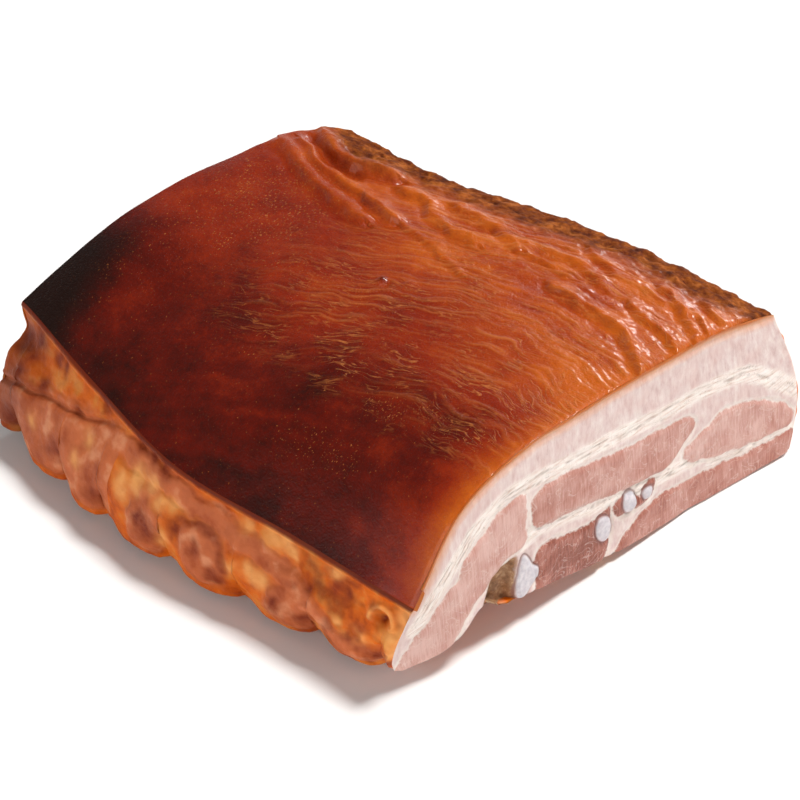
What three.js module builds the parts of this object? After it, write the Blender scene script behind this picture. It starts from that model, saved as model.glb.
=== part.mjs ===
// Pork belly: one thick slab of smoked belly, rind side up, with one end freshly cut.
// Millimetres, +Z up. X runs along the smoked lower edge towards the fresh cut,
// Y from that thin edge towards the thick back edge.
import { BoxGeometry, CatmullRomCurve3, Group, MathUtils, Mesh, MeshStandardMaterial, Vector3 } from 'three';
import { mergeVertices } from 'three/addons/utils/BufferGeometryUtils.js';

// Where the two ends of the slab stand
const CUT_X = 89;
const FAR_X = -112;
const FAR_TAPER = 15;       // how much shorter the slab is along its back edge
const FAR_CORNER = 6;       // rounding of the far back corner, seen from above

// Heights of the rind, one row [y, z] from the smoked edge to the back edge,
// rows evenly spaced from the far end to the fresh cut
const RIND = [
  [[-78, 53], [-56, 60.5], [-32, 68], [-7, 71.5], [17, 73], [41, 74.5], [63, 72.5]],
  [[-85.5, 47], [-60, 57.5], [-34, 66], [-8, 70.5], [17, 72.5], [43, 72.5], [67, 69.5]],
  [[-91, 42.5], [-67, 57], [-39, 67.5], [-9, 73], [20, 75], [49, 74], [78, 70.5]],
  [[-84, 39.5], [-63, 59], [-37, 71], [-6, 76], [24, 76.5], [55, 75], [85, 70]],
  [[-80, 38.5], [-62, 65.5], [-36, 76], [-4, 77], [28, 76], [59, 73.5], [91, 67]],
];

// The underside, in the same rows: the middle of the slab lies flat at z = 0
const UNDERSIDE = [
  [[-88, 3], [-60, 2], [-30, 1], [-3, 0], [25, 0], [54, 1], [82, 5]],
  [[-95, 3], [-66, 0], [-35, 0], [-4, 0], [26, 0], [56, 0], [86, 4]],
  [[-94, 3], [-64, 0], [-31, 0], [0, 0], [33, 0], [65, 0], [98, 4]],
  [[-85, 3], [-59, 1], [-28, 1], [4, 0], [36, 0], [70, 0], [103, 3]],
  [[-77.5, 5], [-56, 9], [-30, 11], [3, 5], [36, 1.5], [71, 0], [104, 1]],
];

// How far each side swells out between rind and underside
const SMOKED_BULGE = 4;
const BACK_BULGE = 8;
const FAR_BULGE = 8;
const WAIST = 3;            // side drawn in below the rind at the far smoked corner
const CUT_FOOT = 4;         // foot of the cut pushed out at the thick end
const CUT_SETBACK = 8;      // foot of the cut drawn back at the thin end
const EDGE_ROLL = 1.2;       // rind rolled down along the far and back edges

// Meat lobes along the smoked side, parted by notches where the rib ends were
const NOTCHES = [-138, -103, -70, -46, -14, 18, 50, 82, 112];
const LOBE = 4.5;
const LOBE_LEAN = 1.3;      // above 1 the lobes are fattest towards the fresh cut

// Rib beds on the underside, running in from the notches
const BED_DEPTH = 2.5;
const BED_HALF_WIDTH = 5;
const BED_SHIFT = 4;        // beds start this far past their notch
const BED_END_Y = 30;

// Pocket under the cut where a rib end was
const POCKET_Y = -49;
const POCKET_HEIGHT = 8;
const POCKET_HALF_WIDTH = 8;

// Mesh segments along X, across Y and down Z
const SEGMENTS_X = 44;
const SEGMENTS_Y = 28;
const SEGMENTS_Z = 6;

const { clamp, lerp } = MathUtils;
const smooth = (points) => new CatmullRomCurve3(points, false, 'catmullrom', 0.5);
const rows = (net) => net.map((row) => smooth(row.map(([y, z]) => new Vector3(0, y, z))));
const RIND_ROWS = rows(RIND);
const UNDERSIDE_ROWS = rows(UNDERSIDE);

// A point of a net, u along X and v across Y, both from 0 to 1
function onNet(netRows, u, v) {
  return smooth(netRows.map((row) => row.getPoint(v))).getPoint(u);
}

// 1 at t = 0, falling smoothly to 0 at t = reach
function fade(t, reach) {
  return clamp(1 - t / reach, 0, 1) ** 2;
}

// A round hump of the given half width, 1 at its middle
function hump(t, middle, halfWidth) {
  return Math.exp(-(((t - middle) / halfWidth) ** 2));
}

// Finer steps towards both ends of 0..1
function crowd(t) {
  return t - 0.08 * Math.sin(2 * Math.PI * t);
}

// Fullness of the meat lobes at x: 0 in a notch, 1 at the fattest place between two
function lobe(x) {
  const next = NOTCHES.findIndex((notch) => notch > x);
  const along = (x - NOTCHES[next - 1]) / (NOTCHES[next] - NOTCHES[next - 1]);
  return Math.sin(Math.PI * along ** LOBE_LEAN) ** 0.6;
}

// Depth of the rib beds at a point of the underside
function bed(x, y) {
  const beds = NOTCHES.map((notch) => hump(x, notch + BED_SHIFT, BED_HALF_WIDTH));
  return BED_DEPTH * Math.max(...beds) * MathUtils.smoothstep(BED_END_Y - y, 0, 80);
}

// The slab's own shape: u from far end to cut, v from smoked edge to back edge,
// w from rind to underside, each from 0 to 1
function onSlab(u, v, w) {
  const atCut = fade(1 - u, 0.35);
  const farX = FAR_X + FAR_TAPER * v ** 3 + FAR_CORNER * fade(1 - v, 0.15);
  const x = lerp(farX, CUT_X, u);

  const top = onNet(RIND_ROWS, u, v);
  top.z -= EDGE_ROLL * Math.max(fade(1 - v, 0.08), fade(u, 0.08));
  const foot = onNet(UNDERSIDE_ROWS, u, v);
  foot.z = Math.max(foot.z, 0) + bed(x, foot.y);
  foot.z += POCKET_HEIGHT * hump(foot.y, POCKET_Y, POCKET_HALF_WIDTH) * fade(1 - u, 0.2);
  const point = new Vector3(x, lerp(top.y, foot.y, w), lerp(top.z, foot.z, w));

  const swell = Math.sin(Math.PI * w) ** 0.7;
  const backSwell = Math.sin(Math.PI * w ** 1.2);
  const waist = WAIST * hump(w, 0.2, 0.12) * fade(u, 0.2) * fade(v, 0.2);
  point.y += BACK_BULGE * backSwell * fade(1 - v, 0.15) - SMOKED_BULGE * swell * fade(v, 0.15);
  point.y -= LOBE * lobe(x) * clamp((w - 0.3) / 0.5, 0, 1) * fade(v, 0.12);
  point.y += waist;
  point.x += waist - FAR_BULGE * swell * clamp(2 * v, 0, 1) * fade(u, 0.15);
  point.x += CUT_FOOT * w * clamp(4 * v - 3, 0, 1) * atCut;
  point.x -= CUT_SETBACK * w * fade(v, 0.2) * atCut;
  return point;
}

function slabGeometry() {
  const box = new BoxGeometry(1, 1, 1, SEGMENTS_X, SEGMENTS_Y, SEGMENTS_Z);
  box.deleteAttribute('normal');
  box.deleteAttribute('uv');
  const geometry = mergeVertices(box);
  const position = geometry.getAttribute('position');
  for (let i = 0; i < position.count; i += 1) {
    const u = crowd(position.getX(i) + 0.5);
    const v = crowd(position.getY(i) + 0.5);
    const w = crowd(0.5 - position.getZ(i));
    const point = onSlab(u, v, clamp(w, 0, 1));
    position.setXYZ(i, point.x, point.y, point.z);
  }
  // Origin at the middle of the footprint, on the resting plane
  geometry.computeBoundingBox();
  const middle = geometry.boundingBox.getCenter(new Vector3());
  geometry.translate(-middle.x, -middle.y, -geometry.boundingBox.min.z);
  geometry.computeVertexNormals();
  return geometry;
}

const belly = new Mesh(
  slabGeometry(),
  new MeshStandardMaterial({ color: 0x8f3a18, roughness: 0.45, metalness: 0 }),
);
belly.name = 'pork_belly';
belly.material.name = 'smoked_pork';

const porkBelly = new Group();
porkBelly.name = 'pork_belly_slab';
porkBelly.add(belly);

export default porkBelly;
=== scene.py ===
"""Smoked pork belly: one slab with amber rind, smoked sides and a fresh cut end."""

import functools
import itertools
import math

import bpy
import numpy as np
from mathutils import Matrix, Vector


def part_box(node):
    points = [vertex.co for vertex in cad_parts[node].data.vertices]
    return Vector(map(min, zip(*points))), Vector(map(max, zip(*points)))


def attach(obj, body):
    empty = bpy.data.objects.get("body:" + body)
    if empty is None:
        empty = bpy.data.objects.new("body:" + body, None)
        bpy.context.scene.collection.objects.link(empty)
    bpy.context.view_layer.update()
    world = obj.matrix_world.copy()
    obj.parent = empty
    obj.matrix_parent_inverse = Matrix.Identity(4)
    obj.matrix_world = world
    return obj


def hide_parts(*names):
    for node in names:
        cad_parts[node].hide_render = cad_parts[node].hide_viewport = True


bl_info = {
    "name": "Smoked pork belly",
    "version": (1, 0, 0),
    "blender": (4, 5, 0),
    "location": "3D View > Sidebar > Pork belly",
    "description": "Builds a slab of smoked pork belly with rind, smoked sides and a fresh cut",
    "category": "Add Mesh",
}

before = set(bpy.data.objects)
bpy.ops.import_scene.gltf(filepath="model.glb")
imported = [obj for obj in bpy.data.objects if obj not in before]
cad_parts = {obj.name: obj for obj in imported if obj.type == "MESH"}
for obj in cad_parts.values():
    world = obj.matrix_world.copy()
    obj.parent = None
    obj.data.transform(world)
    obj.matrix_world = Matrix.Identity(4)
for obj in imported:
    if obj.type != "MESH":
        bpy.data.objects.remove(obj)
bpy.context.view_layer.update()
MM = 0.001

# ---------------------------------------------------------------- slab shape
# Lengths here are in millimetres. X runs along the smoked lower edge to the
# fresh cut, Y from that thin edge to the thick back edge, Z up. These nets and
# numbers repeat the CAD slab; the slab's operator then lays the result on its box.

CUT_X = 89.0
FAR_X = -112.0
FAR_TAPER = 15.0
FAR_CORNER = 6.0
RIND = (
    ((-78, 53), (-56, 60.5), (-32, 68), (-7, 71.5), (17, 73), (41, 74.5), (63, 72.5)),
    ((-85.5, 47), (-60, 57.5), (-34, 66), (-8, 70.5), (17, 72.5), (43, 72.5), (67, 69.5)),
    ((-91, 42.5), (-67, 57), (-39, 67.5), (-9, 73), (20, 75), (49, 74), (78, 70.5)),
    ((-84, 39.5), (-63, 59), (-37, 71), (-6, 76), (24, 76.5), (55, 75), (85, 70)),
    ((-80, 38.5), (-62, 65.5), (-36, 76), (-4, 77), (28, 76), (59, 73.5), (91, 67)),
)
UNDERSIDE = (
    ((-88, 3), (-60, 2), (-30, 1), (-3, 0), (25, 0), (54, 1), (82, 5)),
    ((-95, 3), (-66, 0), (-35, 0), (-4, 0), (26, 0), (56, 0), (86, 4)),
    ((-94, 3), (-64, 0), (-31, 0), (0, 0), (33, 0), (65, 0), (98, 4)),
    ((-85, 3), (-59, 1), (-28, 1), (4, 0), (36, 0), (70, 0), (103, 3)),
    ((-77.5, 5), (-56, 9), (-30, 11), (3, 5), (36, 1.5), (71, 0), (104, 1)),
)
SMOKED_BULGE = 4.0
BACK_BULGE = 8.0
FAR_BULGE = 8.0
WAIST = 3.0
CUT_FOOT = 4.0
CUT_SETBACK = 8.0
EDGE_ROLL = 1.2
NOTCHES = (-138, -103, -70, -46, -14, 18, 50, 82, 112)
LOBE = 4.5
LOBE_LEAN = 1.3
BED_DEPTH = 2.5
BED_HALF_WIDTH = 5.0
BED_SHIFT = 4.0
BED_END_Y = 30.0
POCKET_Y = -49.0
POCKET_HEIGHT = 8.0
POCKET_HALF_WIDTH = 8.0
# Rough lengths of the slab's sides, from which the grid's steps are counted
SIDE_LENGTH = 200
SIDE_HEIGHT = 66
# Length of the rind's edge along the fresh cut
CUT_EDGE_LENGTH = 235
# Straight pieces between two control points of a line, for measuring distances to it
LINE_STEPS = 5
# Distance in mm that stands for far outside a muscle
FAR_OUTSIDE = -30.0
# How far the rind's detail reaches down the sides, in mm
SKIN_DEPTH = 6
# How much the grid crowds towards its edges
CROWDING = 0.04
# The underside's grid is this many times coarser than the others
COARSE = 4

# Soft folds of the rind: points on it (x, y), half width, height
FOLDS = (
    (((-101, 36), (-89, 33), (-77, 28), (-58, 24), (-43, 22)), 3.6, 2.3),
    (((-96, 42), (-90, 40), (-78, 35), (-64, 34), (-52, 33), (-34, 29)), 2.6, 1.9),
    (((-98, 53), (-91, 50), (-83, 46), (-74, 45), (-64, 49), (-56, 51)), 3.2, 2.6),
    (((-50, 32), (-28, 29), (-12, 27), (8, 21)), 1.8, 0.8),
    (((-46, 46), (-42, 47), (-34, 47), (-25, 41), (-14, 39), (-2, 38)), 2.6, 1.5),
    (((-24, 52), (-9, 52), (2, 50), (10, 48)), 2.8, 1.4),
    (((-6, 40), (6, 45), (23, 47), (34, 46)), 1.7, 0.8),
    (((12, 51), (28, 56), (38, 54), (46, 51)), 2.3, 1.1),
    (((27, 66), (41, 61), (53, 61), (64, 61), (76, 61)), 2.2, 1.0),
    (((35, 38), (51, 37), (65, 37), (74, 33), (80, 29), (90, 22)), 2.3, 1.7),
    (((60, 66), (66, 65), (76, 59), (82, 55), (90, 50)), 1.8, 1.3),
    (((76, 64), (84, 60), (90, 57)), 1.5, 0.9),
    (((60, 50), (68, 47), (76, 46), (82, 44), (90, 40)), 1.7, 1.2),
    (((74, 72), (80, 70), (90, 66)), 1.8, 0.8),
)
HOLLOW = (((-94, 46), (-85, 43), (-77, 41), (-66, 41)), 3.4, 2.2)
# Inner edge (x, y) of the rough strip where the rind rolls over the back
STRIP_EDGE = ((-110, 54), (-94, 52), (-83, 48), (-74, 47), (-64, 50), (-52, 53), (-40, 55), (-24, 58),
              (-7, 60), (11, 62), (24, 66), (40, 69), (57, 70), (74, 72), (95, 78))
# Dark pits of the strip (x, y)
STRIP_PITS = ((-77, 50), (-69, 58), (-51, 62), (-19, 66), (12, 73), (28, 76), (41, 81), (61, 79), (70, 84))
# Patches of painted glints, pale flecks crowded together: centre (x, y), half widths, strength
GLINT_PATCHES = (((20, -65), (14, 7), 0.55), ((38, -43), (13, 6), 0.9), ((60, -38), (17, 5), 0.8),
                ((-75, 10), (28, 32), 1.0), ((-40, -10), (24, 12), 0.5), ((38, -62), (9, 7), 0.7),
                ((-95, -35), (12, 24), 0.4))
# A small dried nub, the hollow beside it and a second, lower nub (x, y)
NUB = (-10.0, 1.0)
NUB_HOLLOW = (-7.0, 0.0)
LOW_NUB = (-1.0, 5.0)

# The fresh cut, as outlines (y, z) on its plane
CUT_MUSCLES = (
    # thick end, middle and thin end of the upper muscle
    ((104, 12.5), (104.5, 19), (94, 27.5), (80, 34.5), (67, 37.5), (58, 33.5), (49, 30), (49, 25),
     (58, 20.5), (75, 15.5), (90, 13)),
    ((53.5, 40), (45, 45), (25, 47.5), (5, 50.5), (-15, 55), (-26, 53.5), (-27, 45), (-23.5, 38.5),
     (-8.5, 36), (6, 32.5), (21, 29.5), (34, 27.5), (41, 27), (47, 31)),
    ((-30.5, 56.5), (-40, 57.5), (-47.5, 52.5), (-57.5, 44.5), (-61, 37.5), (-67, 33), (-72.5, 25),
     (-78, 19), (-81, 8), (-78, 0), (-66, 3), (-58.5, 16), (-48.5, 26.5), (-39, 33), (-30, 35), (-29.5, 45)),
    # meat between the ribs
    ((-21.5, 30), (-8, 26.5), (4.5, 25.5), (9, 27), (12, 24.5), (12, 12), (8, 2), (-8, -3), (-21, 2),
     (-24.5, 14), (-24.5, 25)),
    # lower band along the bottom
    ((106, 9), (95, 10), (82, 11), (68, 13), (57, 14), (48, 15), (37.5, 16.5), (30, 15), (24, 12.5), (17, 6),
     (13, -2), (40, -8), (108, -8)),
)
# Shade of each muscle above, from 0 for pale pink to 1 for dark reddish brown
MUSCLE_SHADES = (0.25, 0.45, 0.2, 0.95, 0.6)
RIB_MEAT_STRIP = ((13, 24), (17, 19), (25, 17.5), (33, 20), (34, 26), (28, 26), (26, 22), (17, 28.5))
CARTILAGES = (
    # centre (y, z), half widths, lean
    ((29.8, 22.4), (2.5, 2.7), 0.0),
    ((20.8, 23.2), (3.4, 4.9), -0.4),
    ((8.6, 18.6), (4.2, 5.7), -0.45),
)
BONE = ((-31, 30.5), (-28.5, 29), (-26, 24), (-23.5, 21.5), (-23.5, 17), (-26.5, 15), (-30, 12.5),
        (-33, 14), (-34, 20), (-32.5, 25))
RECESS = ((-33.5, 32), (-40, 32.5), (-45, 29.5), (-48, 24), (-50, 16), (-50, 9), (-33, 7), (-33.5, 20))
SEAM = ((106, 27), (89, 40.5), (75, 48.5), (54, 51.5), (34, 53), (14, 56), (-14.5, 58.5), (-28.5, 60.5),
        (-42, 60), (-55, 53), (-65, 43), (-72, 34), (-77, 26))

# Streaks and cracks follow the cream seam and the two thinner ones below it:
# line, number of cracks, how far they spread from the line
LOWER_SEAM = ((60, 22), (40, 24.5), (21, 27.5), (4, 31.5), (-8, 34.5), (-22, 37.5), (-30, 36))
END_SEAM = ((104, 11), (88, 12), (75, 14), (62, 17))
CRACKED = ((SEAM, 70, 2.6), (LOWER_SEAM, 26, 2.4), (END_SEAM, 8, 1.0))

# Places on the smoked side are (x, share of the height below the rind).
# Brown and pale spots, each with its radius
SCORCHED = (
    (-105, 0.22, 6), (-96, 0.12, 5), (-88, 0.36, 4), (-101, 0.45, 4), (-73, 0.69, 4.2), (-48, 0.74, 3.6),
    (-19, 0.71, 4.6), (-23, 0.6, 3.2), (-7, 0.52, 3.4), (11, 0.76, 3.8), (-84, 0.1, 2.6), (-78, 0.09, 2.6),
    (-53, 0.06, 2.6), (-30, 0.06, 3.2), (-23, 0.07, 3.4), (-16, 0.06, 3.4), (-106, 0.83, 5),
    (63, 0.22, 3.6), (50, 0.36, 3), (36, 0.69, 3.6), (47, 0.72, 3.2), (3, 0.56, 3), (76, 0.76, 3),
    (-66, 0.3, 2.6),
)
SCORCHED_ARC = ((-8, 0.56), (-6, 0.42), (-2, 0.34), (4, 0.31), (9, 0.34), (13, 0.44), (14, 0.58))
PALE_FAT = (
    (-35, 0.4, 3.4), (-28, 0.28, 3), (-21, 0.27, 3), (-34, 0.53, 3), (-28, 0.4, 3), (-14, 0.38, 3),
    (-9, 0.33, 2.6), (-12, 0.64, 2.6), (-14, 0.77, 2.4), (-56, 0.38, 3), (20, 0.13, 2.6), (31, 0.11, 3.4),
    (37, 0.09, 3), (29, 0.55, 3.2), (24, 0.54, 2.6), (17, 0.55, 2), (40, 0.17, 2), (57, 0.09, 3),
    (70, 0.56, 3), (61, 0.5, 2), (-60, 0.6, 2.4), (-88, 0.62, 2.4), (84, 0.4, 4), (84, 0.62, 3),
)
# Lobes of meat, each with its half width and half height
LOBES = ((-73, 0.73, 9, 13), (-50, 0.68, 8, 14), (-22, 0.62, 8, 14), (5, 0.6, 10, 13), (41, 0.7, 10, 10),
         (-98, 0.72, 10, 12), (68, 0.85, 8, 6))
# Middle of the band of salmon meat between the lobes and the rind
SALMON_BAND = ((-108, 0.62), (-92, 0.55), (-76, 0.45), (-60, 0.34), (-46, 0.22), (-30, 0.16), (-14, 0.18),
               (4, 0.2), (16, 0.27), (27, 0.32), (36, 0.36), (46, 0.46), (60, 0.75))
# Usual height of the side, for lines drawn on it
SIDE_TALL = 42
# Share of the height at which meat gives way to a last thin line of fat
MEAT_FOOT = 0.93
# Curled end of a vessel near the fresh cut
VESSEL = (78, 0.3)
# Crease between the fat under the rind and the meat
CREASE = ((-112, 0.56), (-97, 0.5), (-83, 0.38), (-74, 0.34), (-62, 0.28), (-51, 0.16), (-40, 0.08))

# Named shades that the detail of the rind, the fresh cut and the smoked side gives, in order
RIND_SHADES = ("crease", "across", "strip", "glints", "wrinkled", "smoke_and_shading")
CUT_SHADES = ("meat", "shade", "gristle", "recess", "crack", "seam")
SIDE_SHADES = ("meat", "pale", "scorched")

# Lights: name, kind, place in metres, size (an angle for the sun, metres for an area), power
LIGHTS = (
    ("key", "SUN", (0.2, 0.45, 1.1), math.radians(13), 3.1),
    ("cut_fill", "AREA", (1.4, 0.15, 0.6), 0.8, 4.2),
    ("side_fill", "AREA", (0.1, -1.35, 0.4), 1.1, 9.5),
    ("back_rim", "AREA", (-0.4, 1.2, 0.44), 0.22, 3.6),
)
LIT_POINT = (0.0, 0.0, 0.04)
# How brightly the walls glow, by how high they stand over the floor
WALL_GLOW = {"From Min": 0.12, "From Max": 0.45, "To Min": 0.58, "To Max": 0.1}
# The floor's half width, and how far it lies below the slab, in metres
FLOOR_HALF, FLOOR_DROP = 4.0, 0.0002
# Camera: target in mm, distance in metres, degrees round from the smoked side and up
CAMERA_TARGET = (12.56, -3.1, 28.0)
CAMERA_DISTANCE = 0.88
CAMERA_TURN, CAMERA_RISE = 46, 38
CAMERA_LENS, CAMERA_SENSOR = 112.86, 36

# Gradients for the noise, one per cell of a block that repeats
BLOCK = 64
GRADIENTS = np.random.default_rng(8).normal(size=(BLOCK, BLOCK, BLOCK, 3))
GRADIENTS /= np.linalg.norm(GRADIENTS, axis=3, keepdims=True)


def fade(t, reach):
    """1 at t = 0, falling smoothly to 0 at t = reach."""
    return np.clip(1 - t / reach, 0, 1) ** 2


def hump(t, middle, half_width):
    """A round hump, 1 at its middle."""
    return np.exp(-(((t - middle) / half_width) ** 2))


def ramp(t, low, high):
    """0 below low, 1 above high, smooth between."""
    t = np.clip((t - low) / (high - low), 0, 1)
    return t * t * (3 - 2 * t)


def catmull(points, t):
    """Points of a smooth curve through control points, t from 0 to 1 along it.

    points is (n, columns) for one curve, or (n, many, columns) for a curve per t.
    """
    points = np.asarray(points, float)
    ends = np.concatenate(([2 * points[0] - points[1]], points, [2 * points[-1] - points[-2]]))
    place = np.clip(t * (len(points) - 1), 0, len(points) - 1)
    span = np.minimum(place.astype(int), len(points) - 2)
    f = (place - span)[:, None]
    pick = (lambda k: ends[span + k]) if points.ndim == 2 else (lambda k: ends[span + k, np.arange(len(t))])
    before, start, end, after = pick(0), pick(1), pick(2), pick(3)
    lean_in, lean_out = (end - before) / 2, (after - start) / 2
    return (
        (2 * f**3 - 3 * f**2 + 1) * start
        + (f**3 - 2 * f**2 + f) * lean_in
        + (3 * f**2 - 2 * f**3) * end
        + (f**3 - f**2) * lean_out
    )


def on_net(net, u, v):
    """(y, z) on a net, u along X and v across Y."""
    return catmull(np.stack([catmull(row, v) for row in net]), u)


def noise(points, size, seed=0):
    """Smooth noise of about -0.7 to 0.7 whose lumps measure size mm, one size or one per axis."""
    place = points / np.asarray(size, float) + 13.7 * (seed + 1)
    cell = np.floor(place).astype(int)
    f = place - cell
    blend = f * f * f * (f * (f * 6 - 15) + 10)
    total = np.zeros(len(points))
    for corner in itertools.product((0, 1), repeat=3):
        corner = np.array(corner)
        gradient = GRADIENTS[tuple(((cell + corner) % BLOCK).T)]
        weight = np.prod(np.where(corner, blend, 1 - blend), axis=1)
        total += weight * ((f - corner) * gradient).sum(axis=1)
    return total


def line_frame(y, z, line):
    """Distance to an open smooth curve, side of it (1 or -1), and place along it, in mm."""
    curve = catmull(line, np.linspace(0, 1, LINE_STEPS * (len(line) - 1) + 1))
    best = np.full(len(y), 1e9)
    side, place = np.ones(len(y)), np.zeros(len(y))
    passed = 0.0
    for (ay, az), (by, bz) in zip(curve[:-1], curve[1:]):
        dy, dz = by - ay, bz - az
        length = math.hypot(dy, dz)
        along = np.clip(((y - ay) * dy + (z - az) * dz) / length**2, 0, 1)
        away = np.hypot(y - ay - along * dy, z - az - along * dz)
        nearer = away < best
        best = np.where(nearer, away, best)
        side = np.where(nearer, np.sign(dy * (z - az) - dz * (y - ay)), side)
        place = np.where(nearer, passed + along * length, place)
        passed += length
    return best, side, place


def to_line(y, z, line):
    """Distance to an open smooth curve."""
    return line_frame(y, z, line)[0]


def inside(y, z, outline):
    """Distance to a closed smooth outline: above 0 inside it, below 0 outside."""
    closed = outline[-2:] + outline + outline[:2]
    steps = LINE_STEPS * (len(closed) - 1)
    curve = catmull(closed, np.linspace(0, 1, steps + 1))[LINE_STEPS : -2 * LINE_STEPS]
    curve[-1] = curve[0]
    best = np.full(len(y), 1e9)
    crossings = np.zeros(len(y), int)
    for (ay, az), (by, bz) in zip(curve[:-1], curve[1:]):
        dy, dz = by - ay, bz - az
        length = dy * dy + dz * dz
        if length == 0:
            continue
        along = np.clip(((y - ay) * dy + (z - az) * dz) / length, 0, 1)
        best = np.minimum(best, np.hypot(y - ay - along * dy, z - az - along * dz))
        if dz != 0:
            spans = (az <= z) != (bz <= z)
            crossings += spans & (y < ay + (z - az) * dy / dz)
    return np.where(crossings % 2 == 1, best, -best)


def lobe(x):
    """Fullness of the meat lobes: 0 in a notch, 1 at the fattest place between two."""
    notches = np.array(NOTCHES, float)
    k = np.clip(np.searchsorted(notches, x) - 1, 0, len(notches) - 2)
    along = np.clip((x - notches[k]) / (notches[k + 1] - notches[k]), 0, 1)
    return np.sin(np.pi * along**LOBE_LEAN) ** 0.6


def slab_points(u, v, w):
    """The CAD slab's own surface at u, v, w, each from 0 to 1, in millimetres."""
    at_cut = fade(1 - u, 0.35)
    far_x = FAR_X + FAR_TAPER * v**3 + FAR_CORNER * fade(1 - v, 0.15)
    x = far_x + (CUT_X - far_x) * u
    top, foot = on_net(RIND, u, v), on_net(UNDERSIDE, u, v)
    top[:, 1] -= EDGE_ROLL * np.maximum(fade(1 - v, 0.08), fade(u, 0.08))
    beds = np.max([hump(x, notch + BED_SHIFT, BED_HALF_WIDTH) for notch in NOTCHES], axis=0)
    foot[:, 1] = np.maximum(foot[:, 1], 0) + BED_DEPTH * beds * ramp(BED_END_Y - foot[:, 0], 0, 80)
    foot[:, 1] += POCKET_HEIGHT * hump(foot[:, 0], POCKET_Y, POCKET_HALF_WIDTH) * fade(1 - u, 0.2)
    y, z = (top + (foot - top) * w[:, None]).T
    swell = np.sin(np.pi * w) ** 0.7
    back_swell = np.sin(np.pi * w**1.2)
    waist = WAIST * hump(w, 0.2, 0.12) * fade(u, 0.2) * fade(v, 0.2)
    y = y + BACK_BULGE * back_swell * fade(1 - v, 0.15) - SMOKED_BULGE * swell * fade(v, 0.15) + waist
    y = y - LOBE * lobe(x) * np.clip((w - 0.3) / 0.5, 0, 1) * fade(v, 0.12)
    x = x + waist - FAR_BULGE * swell * np.clip(2 * v, 0, 1) * fade(u, 0.15)
    x = x + CUT_FOOT * w * np.clip(4 * v - 3, 0, 1) * at_cut - CUT_SETBACK * w * fade(v, 0.2) * at_cut
    return np.stack((x, y, z), axis=1)


def slab_lattice(spacing):
    """Grid of the slab's surface: vertex places u, v, w and faces in three groups.

    The rind, the fresh cut and the sides are fine grids. The underside is a grid four
    times coarser, whose border faces take in the fine vertices of the sides.
    """
    lengths = (SIDE_LENGTH, SIDE_LENGTH, SIDE_HEIGHT)
    nu, nv, nw = (COARSE * round(length / spacing / COARSE) for length in lengths)
    key = lambda i, j, k: (i * (nv + 1) + j) * (nw + 1) + k

    def sheet(a_steps, b_steps, place):
        a, b = np.meshgrid(np.arange(a_steps), np.arange(b_steps), indexing="ij")
        a, b = a.ravel(), b.ravel()
        return np.stack([place(a, b), place(a + 1, b), place(a + 1, b + 1), place(a, b + 1)], axis=1)

    rind = sheet(nu, nv, lambda a, b: key(a, b, 0))
    cut = sheet(nv, nw, lambda a, b: key(nu, a, b))[:, ::-1]
    far = sheet(nv, nw, lambda a, b: key(0, a, b))
    smoked = sheet(nu, nw, lambda a, b: key(a, 0, b))[:, ::-1]
    back = sheet(nu, nw, lambda a, b: key(a, nv, b))
    under = []
    step = range(COARSE)
    on_border = lambda a, b: a in (0, nu) or b in (0, nv)
    for i in range(0, nu, COARSE):
        for j in range(0, nv, COARSE):
            end_i, end_j = i + COARSE, j + COARSE
            ring = [(i, j + s) for s in step] + [(i + s, end_j) for s in step]
            ring += [(end_i, end_j - s) for s in step] + [(end_i - s, j) for s in step]
            ring = [(a, b) for a, b in ring if a % COARSE == b % COARSE == 0 or on_border(a, b)]
            under.append([key(a, b, nw) for a, b in ring])
    groups = (rind, cut, np.concatenate((far, smoked, back)))
    used, places = np.unique(
        np.concatenate([g.ravel() for g in groups] + [np.concatenate(under)]), return_inverse=True
    )
    faces, at = [], 0
    for group in groups:
        faces.append(places[at : at + group.size].reshape(-1, 4))
        at += group.size
    under_faces = []
    for ring in under:
        under_faces.append(places[at : at + len(ring)].tolist())
        at += len(ring)
    k = used % (nw + 1)
    j = used // (nw + 1) % (nv + 1)
    i = used // (nw + 1) // (nv + 1)
    crowd = lambda t: t - CROWDING * np.sin(2 * np.pi * t)
    return crowd(i / nu), crowd(j / nv), crowd(k / nw), faces, under_faces


# ------------------------------------------------------------ surface detail


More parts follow.
